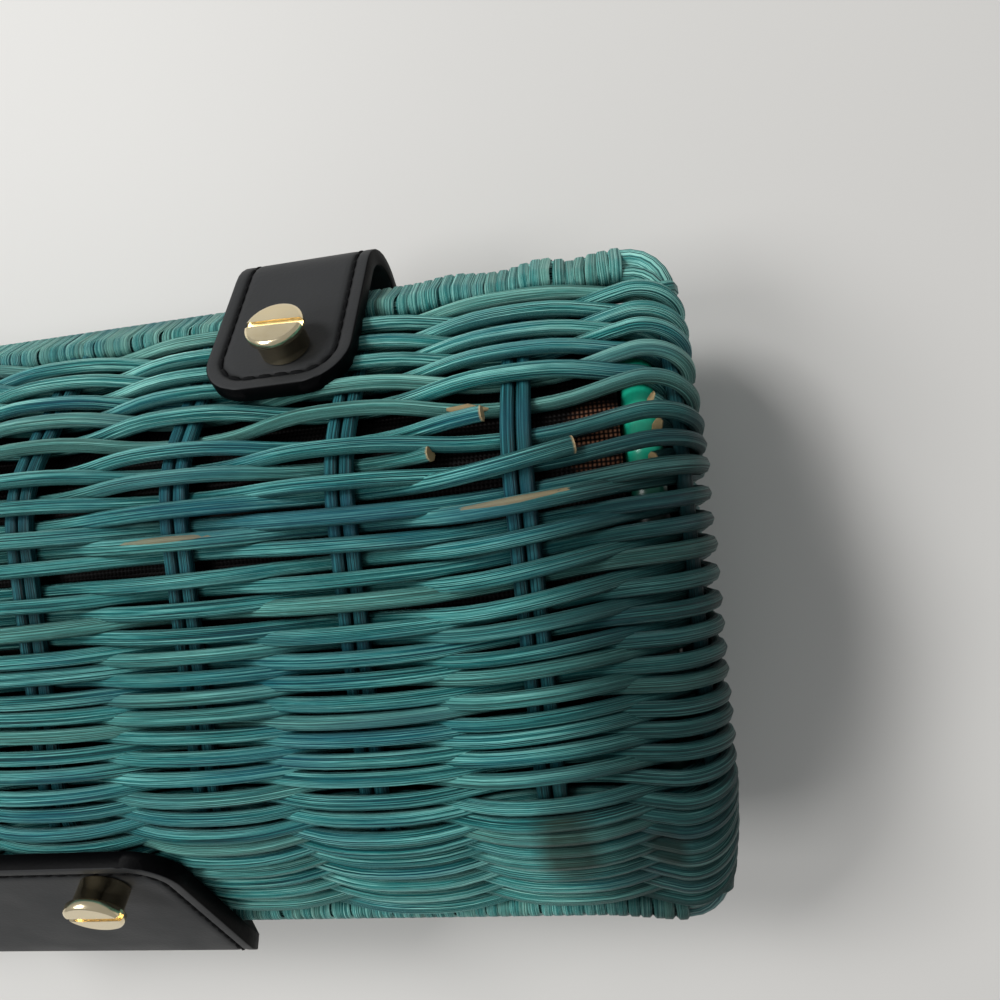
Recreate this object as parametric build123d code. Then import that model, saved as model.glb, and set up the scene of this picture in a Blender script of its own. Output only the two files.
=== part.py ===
from build123d import *
import os
from math import cos, radians, sin

# Basket box bag: two domed woven shells that meet at wrapped rims, joined by leather hinge straps
# and closed by a leather flap. Millimetres and degrees. X runs along the bag, +Y is the hinge edge,
# Z is up, and the bag lies on the flat crown of its back shell with the front shell on top.

# Shell: a flat crown, a rounded edge and a straight sloping side to each rim, and an end wall at each end
shell_length = 277.6
crown_width = 40.0
edge_radius = 22.8
side_angle = 41.0
side_length = 30.5
corner_radius = 7.0
corner_facets = 2
wall = 3.4

# Weave: rows, each two reeds wide, that pass in front of every second pair of stakes
row_pitch = 5.2
reed_rise = 2.0
stake_pitch = 28.3
stake_width = 5.6
end_stake_drop = 9.0

# Loose rows of the front weave, counted from the hinge edge, with a gap on each side of a bare stake
loose_rows = range(5, 11)
loose_gap = 5.0

# Broken rows at the right end of the front weave
broken_rows = (6, 8)
break_inset = 1.5

# Rims
rim_height = 7.0
rim_overhang = 2.2
rim_corner = 8.0
rim_bevel = 2.2
parting_gap = 0.3

# Lining and frame tubes
seat_gap = 0.3
lining_thickness = 1.0
tube_diameter = 6.0
tube_facets = 12

# Hinge straps, whose ends lie below the rounded edge of each shell
strap_thickness = 3.0
strap_width = 26.0
strap_place = 75.0
strap_drop = 3.7
strap_bend = 5.0
strap_corner = 5.0

# Closure flap, whose end stands above the rounded edge, with its magnet and keeper
flap_width = 96.6
flap_rise = 8.5
flap_bend = 11.0
flap_tail = 11.0
flap_corner = 8.0
magnet_diameter = 8.0
magnet_thickness = 1.0

# Slotted studs and the cap nuts behind them
round_facets = 24
head_diameter = 10.0
head_thickness = 1.8
neck_diameter = 8.5
neck_height = 3.8
slot_width = 1.2
slot_depth = 0.9
shank_width = 3.2
shank_clearance = 0.2
neck_gap = 0.1
nut_width = 7.0
nut_height = 3.0
nut_cap = 1.0
strap_stud_inset = 9.5
flap_stud_inset = 9.0
flap_stud_place_x = 35.0

# One overrun for every cut
overrun = 5.0

# Derived places. The parting plane between the rims is height 0 until the bag is set on its back
half_crown = crown_width / 2
half_length = shell_length / 2
slope = radians(side_angle)
foot_z = parting_gap / 2 + rim_height
crown_z = foot_z + edge_radius * (1 - cos(slope)) + side_length * sin(slope)
centre_z = crown_z - edge_radius
rest_height = crown_z + reed_rise
edge_rows = round(edge_radius * slope / row_pitch)
straight_rows = round(side_length / row_pitch)
side_rows = edge_rows + straight_rows
crown_rows = round(crown_width / row_pitch)
row_angle = side_angle / edge_rows
straight_row_width = side_length / straight_rows
crown_row_width = crown_width / crown_rows
corner_x = half_length - corner_radius
stakes_each_side = int((corner_x - break_inset - loose_gap - stake_width / 2) / stake_pitch)
corner_r = edge_radius - corner_radius
lining_offset = wall + seat_gap
tube_offset = wall + seat_gap + tube_diameter / 2
tube_x = half_length - tube_offset
lining_half_length = tube_x - tube_diameter / 2 - seat_gap
strap_radius = edge_radius + reed_rise + seat_gap
stud_radius = strap_radius + strap_thickness + neck_gap
shank_end_radius = edge_radius - lining_offset - lining_thickness - seat_gap - nut_height + nut_cap


def edge_point(radius):
    """Place across the bag where the rounded edge of this radius meets the straight side."""
    return half_crown + radius * sin(slope), centre_z + radius * cos(slope)


def foot_y(offset):
    """Half width, at the top of the rim, of the dome set in by offset."""
    y, z = edge_point(edge_radius - offset)
    return y + (z - foot_z) * cos(slope) / sin(slope)


rim_half_x = half_length + rim_overhang
rim_half_y = foot_y(0) + rim_overhang


def dome_section(offset, bottom):
    """Closed section across the bag of the dome set in by offset, with straight hems down to bottom."""
    radius = edge_radius - offset
    top = centre_z + radius
    edge_y, edge_z = edge_point(radius)
    bulge_y = half_crown + radius * sin(slope / 2)
    bulge_z = centre_z + radius * cos(slope / 2)
    foot = foot_y(offset)
    half = [
        ThreePointArc((half_crown, top), (bulge_y, bulge_z), (edge_y, edge_z)),
        Line((edge_y, edge_z), (foot, foot_z)),
        Line((foot, foot_z), (foot, bottom)),
    ]
    across = [Line((-half_crown, top), (half_crown, top)), Line((-foot, bottom), (foot, bottom))]
    return Plane.YZ * make_face(half + [mirror(line, Plane.YZ) for line in half] + across)


def below_rim_top():
    """Block that takes away everything below the top face of the rim."""
    depth = side_length
    block = Box(2 * (rim_half_x + overrun), 2 * (rim_half_y + overrun), depth)
    return Pos(0, 0, foot_z - depth / 2) * block


# Weave


def reed_lift(stake, row):
    """Height of a row over the wall at a stake: raised in front of it, flush behind it."""
    return reed_rise if (stake + row) % 2 == 0 else 0


def corner_points(side, row):
    """A row's turn from an end wall, where it is flush, onto the face."""
    points = []
    for step in range(corner_facets + 1):
        turn = radians(90 * step / corner_facets)
        radius = corner_radius + reed_lift(stakes_each_side + 1, row) * step / corner_facets
        points.append((side * (corner_x + radius * cos(turn)), corner_r + radius * sin(turn)))
    return points


def face_points(row):
    """A row's outer line along the face, from the left corner to the right one."""
    stakes = range(-stakes_each_side, stakes_each_side + 1)
    crests = [(stake * stake_pitch, edge_radius + reed_lift(stake, row)) for stake in stakes]
    return [corner_points(-1, row)[-1], *crests, corner_points(1, row)[-1]]


def face_radius(x, row):
    """Height of a row's outer line at a place along the face."""
    points = face_points(row)
    for (left_x, left_r), (right_x, right_r) in zip(points, points[1:]):
        if left_x <= x <= right_x:
            return left_r + (right_r - left_r) * (x - left_x) / (right_x - left_x)


def row_outline(row, start, stop):
    """Outline of one stretch of a row; None for start or stop takes in that corner."""
    inner_x = half_length - wall
    inner_r = edge_radius - wall
    first, *crests, last = face_points(row)
    lead = corner_points(-1, row)
    tail = [*reversed(corner_points(1, row))]
    back = [(inner_x, corner_r), (inner_x, inner_r)]
    front = [(-inner_x, inner_r), (-inner_x, corner_r)]
    if start is not None:
        lead = [(start, face_radius(start, row))]
        front = [(start, inner_r)]
    if stop is not None:
        tail = [(stop, face_radius(stop, row))]
        back = [(stop, inner_r)]
    kept = [point for point in crests if lead[-1][0] < point[0] < tail[0][0]]
    return [*lead, *kept, *tail, *back, *front]


def row_stretches(row, gaps):
    """The stretches of a row that are left between its gaps."""
    merged = []
    for start, stop in sorted(gaps):
        if merged and start <= merged[-1][1]:
            merged[-1] = (merged[-1][0], max(stop, merged[-1][1]))
        else:
            merged.append((start, stop))
    starts = [None, *(stop for _, stop in merged)]
    stops = [*(start for start, _ in merged), None]
    return [row_outline(row, start, stop) for start, stop in zip(starts, stops)]


def front_gaps(row):
    """Gaps of a front row: beside the stakes it runs behind where the weave is loose, and the break."""
    gaps = []
    if row in loose_rows:
        for stake in range(-stakes_each_side, stakes_each_side + 1):
            if reed_lift(stake, row) == 0:
                for side in (-1, 1):
                    near = stake * stake_pitch + side * stake_width / 2
                    gaps.append(tuple(sorted((near, near + side * loose_gap))))
    if row in broken_rows:
        gaps.append((stakes_each_side * stake_pitch + stake_width / 2, corner_x - break_inset))
    return gaps


def no_gaps(row):
    """A row with no gap."""
    return []


def row_face(outline, y):
    """Face of one stretch of a row, standing on the axis of an edge, at a place beside that axis."""
    return Face(Wire.make_polygon([(x, y, radius) for x, radius in outline]))


def row_number(side, step):
    """Number of a row from the hinge edge, from its step down the edge and side of one side."""
    return side_rows - 1 - step if side > 0 else side_rows + crown_rows + step


def end_row_bounds(side, step):
    """Where a row's two edges reach the end wall, across the bag, and the height of the upper one."""
    bounds = []
    for line in (step, step + 1):
        turn = radians(row_angle * min(line, edge_rows))
        run = straight_row_width * max(line - edge_rows, 0)
        y = half_crown + corner_r * sin(turn) + run * cos(slope)
        bounds.append((side * y, centre_z + corner_r * cos(turn) - run * sin(slope)))
    (upper_y, upper_z), (lower_y, _) = bounds
    return min(upper_y, lower_y), max(upper_y, lower_y), upper_z


def end_rib(low_y, high_y, top):
    """Row that swells over the stake of the right end wall, on its way down to the rim."""
    inner_x = half_length - wall
    swell = [(half_length, top), (half_length + reed_rise, top - end_stake_drop)]
    foot = [(half_length, top - 2 * end_stake_drop), (inner_x, top - 2 * end_stake_drop), (inner_x, top)]
    side_face = Face(Wire.make_polygon([(x, low_y, z) for x, z in swell + foot]))
    return extrude(side_face, high_y - low_y, dir=(0, 1, 0))


def end_wall():
    """Woven right end wall: a plate inside the turned rows, with a rib for each row in front of its stake."""
    outline = dome_section(corner_radius, foot_z - overrun)
    reach = Pos(half_length - wall, 0, 0) * extrude(outline, wall + reed_rise, dir=(1, 0, 0))
    bounds = {}
    for side in (-1, 1):
        for step in range(side_rows):
            bounds[row_number(side, step)] = end_row_bounds(side, step)
    for step in range(crown_rows):
        high_y = half_crown - step * crown_row_width
        bounds[side_rows + step] = (high_y - crown_row_width, high_y, centre_z + corner_r)
    in_front = [bound for row, bound in bounds.items() if reed_lift(stakes_each_side + 2, row) > 0]
    raised = [bound for bound in in_front if bound[-1] > foot_z]
    plate = Pos(half_length - wall, 0, 0) * extrude(outline, wall, dir=(1, 0, 0))
    return [plate, *(end_rib(*bound) & reach for bound in raised)]


def weave(gaps_of_row):
    """Woven wall of one shell: turned rows on the edges, straight ones on crown and sides, and the end walls."""
    strips = []
    for side in (-1, 1):
        edge = Pos(0, side * half_crown, centre_z)
        for step in range(side_rows):
            row = row_number(side, step)
            for outline in row_stretches(row, gaps_of_row(row)):
                if step < edge_rows:
                    strip = revolve(row_face(outline, 0), Axis((0, 0, 0), (-side, 0, 0)), row_angle)
                    strips.append(edge * Rot(-side * step * row_angle, 0, 0) * strip)
                else:
                    start = (step - edge_rows) * straight_row_width
                    length = straight_row_width + (overrun if step == side_rows - 1 else 0)
                    strip = extrude(row_face(outline, side * start), length, dir=(0, side, 0))
                    strips.append(edge * Rot(-side * side_angle, 0, 0) * strip)
    for step in range(crown_rows):
        row = side_rows + step
        for outline in row_stretches(row, gaps_of_row(row)):
            strip = extrude(row_face(outline, half_crown - step * crown_row_width), crown_row_width, dir=(0, -1, 0))
            strips.append(Pos(0, 0, centre_z) * strip)
    walls = end_wall()
    walls += [mirror(piece, Plane.YZ) for piece in walls]
    return (Part() + strips + walls) - below_rim_top()


# Rim, lining and frame tubes


def rim():
    """Wrapped rim round the mouth of a shell; the lining's hem lies against its inside."""
    opening = Rectangle(2 * lining_half_length, 2 * foot_y(lining_offset))
    ring = RectangleRounded(2 * rim_half_x, 2 * rim_half_y, rim_corner) - opening
    band = extrude(ring, rim_height)
    outer_edges = [
        edge
        for edge in band.edges()
        if abs(edge.center().X) > lining_half_length or abs(edge.center().Y) > foot_y(lining_offset)
    ]
    flat_edges = [edge for edge in outer_edges if edge.bounding_box().size.Z < rim_bevel]
    return Pos(0, 0, parting_gap / 2) * chamfer(flat_edges, rim_bevel)


def lining():
    """Cloth lining inside a shell, hemmed down the inside of the rim."""
    outside = extrude(dome_section(lining_offset, parting_gap / 2), lining_half_length, both=True)
    hollow_length = lining_half_length - lining_thickness
    hollow = extrude(dome_section(lining_offset + lining_thickness, -overrun), hollow_length, both=True)
    return outside - hollow


def frame_tube(side):
    """Plastic tube bent in flat stretches behind the end of the weave, standing on the end of the rim."""
    radius = edge_radius - tube_offset
    foot = foot_y(tube_offset)
    leg = [(half_crown, centre_z + radius), edge_point(radius), (foot, foot_z), (foot, foot_z - overrun)]
    route = [(-y, z) for y, z in reversed(leg)] + leg
    path = Plane.YZ * Polyline(*route)
    section = Plane(path @ 0, z_dir=path % 0) * RegularPolygon(tube_diameter / 2, tube_facets)
    tube = sweep(section, path, transition=Transition.RIGHT)
    return Pos(side * tube_x, 0, 0) * (tube - below_rim_top())


# Straps and flap


def bend_middle(bend):
    """Place across the bag of the middle of a strap's bend, which lies in the parting plane."""
    y, z = edge_point(strap_radius - bend)
    return y + z * cos(slope) / sin(slope)


strap_inner_y = bend_middle(strap_bend) + strap_bend
flap_inner_y = bend_middle(flap_bend) + flap_bend


def strap_lines(below_edge, bend):
    """Lines of a strap's section on the +Y side: straight down the side, then round to the parting plane."""
    level = radians(90)
    bend_y = bend_middle(bend)

    def along(lift):
        y, z = edge_point(strap_radius + lift)
        return y + below_edge * cos(slope), z - below_edge * sin(slope)

    def around(lift, turn):
        radius = bend + lift
        return bend_y + radius * sin(turn), radius * cos(turn)

    lines = [Line(along(0), along(strap_thickness))]
    for lift in (0, strap_thickness):
        lines += [
            Line(along(lift), around(lift, slope)),
            ThreePointArc(around(lift, slope), around(lift, (slope + level) / 2), (bend_y + bend + lift, 0)),
        ]
    return lines


def tail_lines(inner_y, tail):
    """Lines of the straight end of a strap that hangs below the parting plane."""
    outer_y = inner_y + strap_thickness
    return [
        Line((inner_y, 0), (inner_y, -tail)),
        Line((inner_y, -tail), (outer_y, -tail)),
        Line((outer_y, -tail), (outer_y, 0)),
    ]


def rounded_ends(band, width, corner):
    """Band of leather with its end corners rounded."""
    corners = [
        edge
        for edge in band.edges().filter_by(GeomType.LINE)
        if abs(edge.length - strap_thickness) < seat_gap and abs(abs(edge.center().X) - width / 2) < seat_gap
    ]
    return fillet(corners, corner)


def on_side(y_side, x, below_edge):
    """Frame on a shell's straight side: its height is measured from the axis of the rounded edge."""
    edge = Pos(x, y_side * half_crown, centre_z) * Rot(-y_side * side_angle, 0, 0)
    return edge * Pos(0, y_side * below_edge, 0)


def shank_hole():
    """Hole for a stud's shank, through leather, weave and lining."""
    length = stud_radius - shank_end_radius + overrun
    hole = extrude(RegularPolygon(shank_width / 2 + shank_clearance, 6), length)
    return Pos(0, 0, stud_radius + overrun - length) * hole


def hinge_stud_place(side):
    """Frame of the front stud of one hinge strap."""
    return on_side(1, side * strap_place, strap_drop + strap_stud_inset)


def flap_stud_place(side):
    """Frame of one stud of the flap."""
    return on_side(-1, side * flap_stud_place_x, flap_stud_inset - flap_rise)


def hinge_strap(side):
    """Leather strap from the front shell, in an arch over both rims, to the back shell."""
    upper = strap_lines(strap_drop, strap_bend)
    section = Plane.YZ * make_face(upper + [mirror(line, Plane.XZ) for line in upper])
    band = rounded_ends(extrude(section, strap_width / 2, both=True), strap_width, strap_corner)
    hole = hinge_stud_place(side) * shank_hole()
    return Pos(side * strap_place, 0, 0) * band - [hole, mirror(hole, Plane.XY)]


def flap():
    """Leather flap on the front shell that hangs over both rims at the opening edge."""
    lines = strap_lines(-flap_rise, flap_bend) + tail_lines(flap_inner_y, flap_tail)
    section = Plane.YZ * make_face(lines)
    band = rounded_ends(extrude(section, flap_width / 2, both=True), flap_width, flap_corner)
    return mirror(band, Plane.XZ) - [flap_stud_place(side) * shank_hole() for side in (-1, 1)]


def catch_disc(inner_y, thickness):
    """Disc of the magnetic catch, facing the opening edge at the height of the back rim."""
    disc = Rot(90, 0, 0) * extrude(RegularPolygon(magnet_diameter / 2, round_facets), thickness)
    return Pos(0, -inner_y, -foot_z + rim_height / 2) * disc


# Studs and nuts


def stud():
    """Slotted stud: flat head, thick neck standing on the leather, six-sided shank through the wall."""
    head_z = stud_radius + neck_height
    neck = Pos(0, 0, stud_radius) * extrude(RegularPolygon(neck_diameter / 2, round_facets), neck_height)
    head = Pos(0, 0, head_z) * extrude(RegularPolygon(head_diameter / 2, round_facets), head_thickness)
    slot = Pos(0, 0, head_z + head_thickness) * Box(head_diameter + overrun, slot_width, 2 * slot_depth)
    length = stud_radius - shank_end_radius
    shank = Pos(0, 0, shank_end_radius) * extrude(RegularPolygon(shank_width / 2, 6), length)
    return neck + head - slot + shank


def cap_nut():
    """Six-sided cap nut on the end of a shank, against the lining."""
    body = extrude(RegularPolygon(nut_width / 2, 6), nut_height)
    hole = extrude(RegularPolygon(shank_width / 2 + shank_clearance, 6), nut_height)
    return Pos(0, 0, shank_end_radius - nut_cap) * (body - Pos(0, 0, nut_cap) * hole)


def drilled(part, places):
    """A wall or lining with a shank hole at each place."""
    for place in places:
        part = part - place * shank_hole()
    return part


def group(shape, places):
    """Copies of one small piece at each place."""
    return Compound(children=[place * shape for place in places])


def shell_pieces(name, gaps_of_row, stud_places):
    """The pieces that both shells have, with the mouth facing down."""
    return {
        f"{name}_weave": drilled(weave(gaps_of_row), stud_places),
        f"{name}_rim": rim(),
        f"{name}_lining": drilled(lining(), stud_places),
        f"{name}_frame_tube_left": frame_tube(-1),
        f"{name}_frame_tube_right": frame_tube(1),
        f"{name}_hinge_studs": group(stud(), hinge_places),
        f"{name}_hinge_nuts": group(cap_nut(), hinge_places),
    }


hinge_places = [hinge_stud_place(side) for side in (-1, 1)]
flap_places = [flap_stud_place(side) for side in (-1, 1)]
pieces = shell_pieces("front", front_gaps, hinge_places + flap_places)
for name, piece in shell_pieces("back", no_gaps, hinge_places).items():
    pieces[name] = mirror(piece, Plane.XY)
pieces["hinge_strap_left"] = hinge_strap(-1)
pieces["hinge_strap_right"] = hinge_strap(1)
pieces["closure_flap"] = flap()
pieces["closure_studs"] = group(stud(), flap_places)
pieces["closure_nuts"] = group(cap_nut(), flap_places)
pieces["flap_magnet"] = catch_disc(flap_inner_y - magnet_thickness, magnet_thickness)
pieces["rim_keeper"] = catch_disc(rim_half_y, flap_inner_y - magnet_thickness - seat_gap - rim_half_y)

# The bag lies on its back shell with the origin under the middle of its outline
resting = Pos(0, (flap_inner_y - strap_inner_y) / 2, rest_height)
os.makedirs("parts", exist_ok=True)
for name, piece in pieces.items():
    export_step(resting * piece, f"parts/{name}.step")
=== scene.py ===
import math
import random

import bmesh
import bpy
from mathutils import Matrix, Vector


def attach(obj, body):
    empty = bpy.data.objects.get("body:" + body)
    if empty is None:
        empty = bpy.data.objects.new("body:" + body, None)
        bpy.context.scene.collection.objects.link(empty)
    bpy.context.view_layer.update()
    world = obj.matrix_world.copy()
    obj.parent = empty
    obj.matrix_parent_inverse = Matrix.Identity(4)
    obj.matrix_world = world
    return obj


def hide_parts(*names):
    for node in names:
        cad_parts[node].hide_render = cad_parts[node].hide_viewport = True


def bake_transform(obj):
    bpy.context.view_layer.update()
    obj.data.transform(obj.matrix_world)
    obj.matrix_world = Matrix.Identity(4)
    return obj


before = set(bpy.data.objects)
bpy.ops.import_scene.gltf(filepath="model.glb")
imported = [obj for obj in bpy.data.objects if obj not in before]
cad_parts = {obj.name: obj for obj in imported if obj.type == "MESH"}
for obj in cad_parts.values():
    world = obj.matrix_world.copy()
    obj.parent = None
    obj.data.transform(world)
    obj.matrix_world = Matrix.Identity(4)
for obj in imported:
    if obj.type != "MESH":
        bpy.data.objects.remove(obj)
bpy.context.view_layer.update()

# The table and the light: a plain pale top under soft studio lamps, the stronger one up and to the left.
# The camera stands close above the right end of the bag, looking down on the broken corner.
table_half = 3.0
sky_strength = 0.38
lamps = (("window", (-0.65, 0.70, 1.15), 0.42, 15.0), ("ceiling", (-0.65, -0.05, 1.10), 0.50, 6.5))
lamp_aim = Vector((0.06, 0, 0.03))
camera_place = (0.1309, 0.0233, 0.1884)
camera_turn = Vector((0.0498, -0.1672, 0.1039))
camera_lens = 29.49
camera_sensor = 36
camera_nearest = 0.01


def paint(hex_colour):
    """A colour written as sRGB hex, as the linear colour that a shader takes."""
    shares = [int(hex_colour[place:place + 2], 16) / 255 for place in (1, 3, 5)]
    return [share / 12.92 if share <= 0.04045 else ((share + 0.055) / 1.055) ** 2.4 for share in shares] + [1]


def add(tree, kind, inputs=None, **settings):
    """One node with its settings; an input is a value, or the output that it is linked from."""
    node = tree.nodes.new(kind)
    for name, value in settings.items():
        setattr(node, name, value)
    for name, value in (inputs or {}).items():
        if isinstance(value, bpy.types.NodeSocket):
            tree.links.new(value, node.inputs[name])
        else:
            node.inputs[name].default_value = value
    return node


def mix(tree, share, low, high, **settings):
    """A colour between two by a share; each is a hex colour, a list of numbers or an output."""
    ends = [paint(end) if isinstance(end, str) else end for end in (low, high)]
    inputs = {0: share, 6: ends[0], 7: ends[1]}
    return add(tree, "ShaderNodeMix", inputs, data_type="RGBA", **settings).outputs[2]


def spread(tree, value, start, stop, low=0.0, high=1.0, **settings):
    """A value carried from the range start to stop into the range low to high, and held at its ends."""
    ends = {"Value": value, "From Min": start, "From Max": stop, "To Min": low, "To Max": high}
    return add(tree, "ShaderNodeMapRange", ends, **settings).outputs[0]


def multiply(tree, first, second):
    """The product of two values."""
    return add(tree, "ShaderNodeMath", {0: first, 1: second}, operation="MULTIPLY").outputs[0]


def noise(tree, place, scale, detail=2.0, roughness=0.5):
    """Soft random patches, about this many to a unit of the place."""
    sizes = {"Vector": place, "Scale": scale, "Detail": detail, "Roughness": roughness}
    return add(tree, "ShaderNodeTexNoise", sizes).outputs[0]


def object_place(tree):
    """A place on the piece, in metres in the bag's frame."""
    return add(tree, "ShaderNodeTexCoord").outputs["Object"]


def new_finish(name):
    """A material with nothing in its tree yet, and that tree."""
    finish = bpy.data.materials.new(name)
    finish.use_nodes = True
    finish.node_tree.nodes.clear()
    return finish, finish.node_tree


def end_finish(tree, looks):
    """A surface with these looks reaches the material's output."""
    surface = add(tree, "ShaderNodeBsdfPrincipled", looks)
    add(tree, "ShaderNodeOutputMaterial", {"Surface": surface.outputs[0]})


table_top, tree = new_finish("matt white laminate")
white = mix(tree, noise(tree, object_place(tree), 6), "#cac8c5", "#d0ceca")
end_finish(tree, {"Base Color": white, "Roughness": 0.6})

table_corners = [(x * table_half, y * table_half, 0) for x, y in ((-1, -1), (1, -1), (1, 1), (-1, 1))]
table_mesh = bpy.data.meshes.new("table")
table_mesh.from_pydata(table_corners, [], [(0, 1, 2, 3)])
table_mesh.materials.append(table_top)
table = bpy.data.objects.new("table", table_mesh)
bpy.context.collection.objects.link(table)

world = bpy.data.worlds.new("studio")
world.use_nodes = True
sky = world.node_tree.nodes["Background"].inputs
sky["Color"].default_value = paint("#eef0f2")
sky["Strength"].default_value = sky_strength
bpy.context.scene.world = world

for lamp_name, place, size, power in lamps:
    lamp = bpy.data.lights.new(lamp_name, "AREA")
    lamp.size = size
    lamp.energy = power
    lamp_object = bpy.data.objects.new(lamp_name, lamp)
    lamp_object.location = place
    lamp_object.rotation_euler = (lamp_aim - Vector(place)).to_track_quat("-Z", "Y").to_euler()
    bpy.context.collection.objects.link(lamp_object)

camera = bpy.data.cameras.new("camera")
camera.sensor_width = camera_sensor
camera.lens = camera_lens
camera.clip_start = camera_nearest
camera_object = bpy.data.objects.new("camera", camera)
turned_camera = Matrix.Rotation(-camera_turn.length, 4, camera_turn.normalized())
camera_object.matrix_world = Matrix.Translation(camera_place) @ turned_camera
bpy.context.collection.objects.link(camera_object)
bpy.context.scene.camera = camera_object
bpy.context.scene.view_settings.view_transform = "Standard"

# The shape both shells are woven to: a flat crown, a rounded edge and a straight sloping side to each rim.
# A place on it is counted in millimetres across the bag, from the foot at the hinge to the foot at the flap.
# The front shell is side 1 and the back shell, its mirror below the parting plane, is side -1.
crown_half = 20.0
edge_radius = 22.8
slope = math.radians(41)
side_length = 30.5
half_length = 138.8
corner_radius = 7.0
foot_z = 7.15
crown_z = foot_z + edge_radius * (1 - math.cos(slope)) + side_length * math.sin(slope)
centre_z = crown_z - edge_radius
half_girth = crown_half + edge_radius * slope + side_length
middle_y = -1.573
parting_z = 34.752


def dome(place, lift):
    """Where a place on the section lies, raised by lift: across the bag, and up from the parting plane."""
    across = half_girth - place
    side = 1 if across >= 0 else -1
    run = abs(across) - crown_half
    if run <= 0:
        return across, crown_z + lift
    turn = min(run / edge_radius, slope)
    rest = max(0.0, run - edge_radius * slope)
    y = crown_half + (edge_radius + lift) * math.sin(turn) + rest * math.cos(slope)
    z = centre_z + (edge_radius + lift) * math.cos(turn) - rest * math.sin(slope)
    return side * y, z


def in_frame(x, y, z, side):
    """A shell's point, in millimetres from the parting plane, in the bag's frame in metres."""
    return Vector((x, y + middle_y, parting_z + side * z)) / 1000


# Frame tubes: glossy green plastic tubes bent to the shell's section, one inside each end of each shell.
# The ends stand on the rim, and the woven rows pass over them.
tube_radius = 3.0
tube_inset = 6.7
tube_flats = 20
section_steps = 60
bodies = {1: "front_shell", -1: "back_shell"}
shells = {1: "front", -1: "back"}


def add_piece(name, mesh):
    """A new object at the origin for a finished mesh."""
    piece = bpy.data.objects.new(name, mesh)
    bpy.context.collection.objects.link(piece)
    return piece


def path_mesh(name, paths, values):
    """A mesh of open or closed lines, with named values for its points: a list, or one for all."""
    points, edges = [], []
    for path, closed in paths:
        first = len(points)
        points += path
        edges += [(place, place + 1) for place in range(first, len(points) - 1)]
        if closed:
            edges.append((len(points) - 1, first))
    mesh = bpy.data.meshes.new(name)
    mesh.from_pydata(points, edges, [])
    for key, numbers in values.items():
        numbers = numbers if isinstance(numbers, list) else [numbers] * len(points)
        mesh.attributes.new(key, "FLOAT", "POINT").data.foreach_set("value", numbers)
    return mesh


def new_group(name, inputs):
    """A Geometry Nodes tree that takes a mesh, these inputs and a finish, and the outputs they come in by."""
    tree = bpy.data.node_groups.new(name, "GeometryNodeTree")
    for socket, kind in {"Geometry": "Geometry", **inputs, "Finish": "Material"}.items():
        tree.interface.new_socket(socket, in_out="INPUT", socket_type=f"NodeSocket{kind}")
    tree.interface.new_socket("Geometry", in_out="OUTPUT", socket_type="NodeSocketGeometry")
    return tree, add(tree, "NodeGroupInput").outputs


def end_group(tree, asked, shape):
    """The shape leaves the tree as plain mesh in the finish that was asked for."""
    whole = add(tree, "GeometryNodeRealizeInstances", {"Geometry": shape})
    worn = {"Geometry": whole.outputs[0], "Material": asked["Finish"]}
    done = add(tree, "GeometryNodeSetMaterial", worn)
    add(tree, "NodeGroupOutput", {"Geometry": done.outputs[0]})
    return tree


def attribute(tree, name):
    """A value that the points of a mesh carry, in a Geometry Nodes tree."""
    node = add(tree, "GeometryNodeInputNamedAttribute", {"Name": name}, data_type="FLOAT")
    return node.outputs["Attribute"]


def marked(tree, shape, name, value):
    """A shape whose points keep a value for the finish."""
    kept = {"Geometry": shape, "Name": name, "Value": value}
    return add(tree, "GeometryNodeStoreNamedAttribute", kept, data_type="FLOAT", domain="POINT").outputs[0]


def rod_tree():
    """Round rods along the lines of a mesh, as thick as its points say, marked for the finish."""
    tree, asked = new_group("rods along lines", {"Flats": "Int"})
    lines = add(tree, "GeometryNodeMeshToCurve", {"Mesh": asked["Geometry"]})
    length = add(tree, "GeometryNodeSplineParameter").outputs["Length"]
    ring = add(tree, "GeometryNodeCurvePrimitiveCircle", {"Resolution": asked["Flats"], "Radius": 1.0})
    turn = add(tree, "GeometryNodeSplineParameter").outputs["Factor"]
    swept = add(
        tree,
        "GeometryNodeCurveToMesh",
        {
            "Curve": marked(tree, lines.outputs[0], "along", length),
            "Profile Curve": marked(tree, ring.outputs[0], "around", turn),
            "Scale": attribute(tree, "thick"),
            "Fill Caps": True,
        },
    )
    smooth = add(tree, "GeometryNodeSetShadeSmooth", {"Geometry": swept.outputs[0]})
    return end_group(tree, asked, smooth.outputs[0])


def grow(piece, tree, **sizes):
    """Runs a tree on a piece with these inputs, and keeps the result as the piece's plain mesh."""
    modifier = piece.modifiers.new(tree.name, "NODES")
    modifier.node_group = tree
    for socket in tree.interface.items_tree:
        if socket.in_out == "INPUT" and socket.name in sizes:
            modifier[socket.identifier] = sizes[socket.name]
    seen = piece.evaluated_get(bpy.context.evaluated_depsgraph_get())
    piece.data = bpy.data.meshes.new_from_object(seen)
    piece.modifiers.clear()
    return piece


def rod_piece(name, paths, values, flats, finish):
    """A piece of rods along these lines, each with this many flats round it."""
    return grow(add_piece(name, path_mesh(name, paths, values)), rods, Flats=flats, Finish=finish)


def section_path(x, lift, lowest, side):
    """A line across the bag at this x, raised by lift, as far down as the lowest height."""
    path = []
    for step in range(section_steps + 1):
        y, z = dome(2 * half_girth * step / section_steps, lift)
        if z >= lowest:
            path.append(in_frame(x, y, z, side))
    return path


rods = rod_tree()
green_tube, tree = new_finish("extruded green plastic")
tube_place = object_place(tree)
bright = mix(tree, noise(tree, tube_place, 300), "#12a080", "#22ba96")
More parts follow.
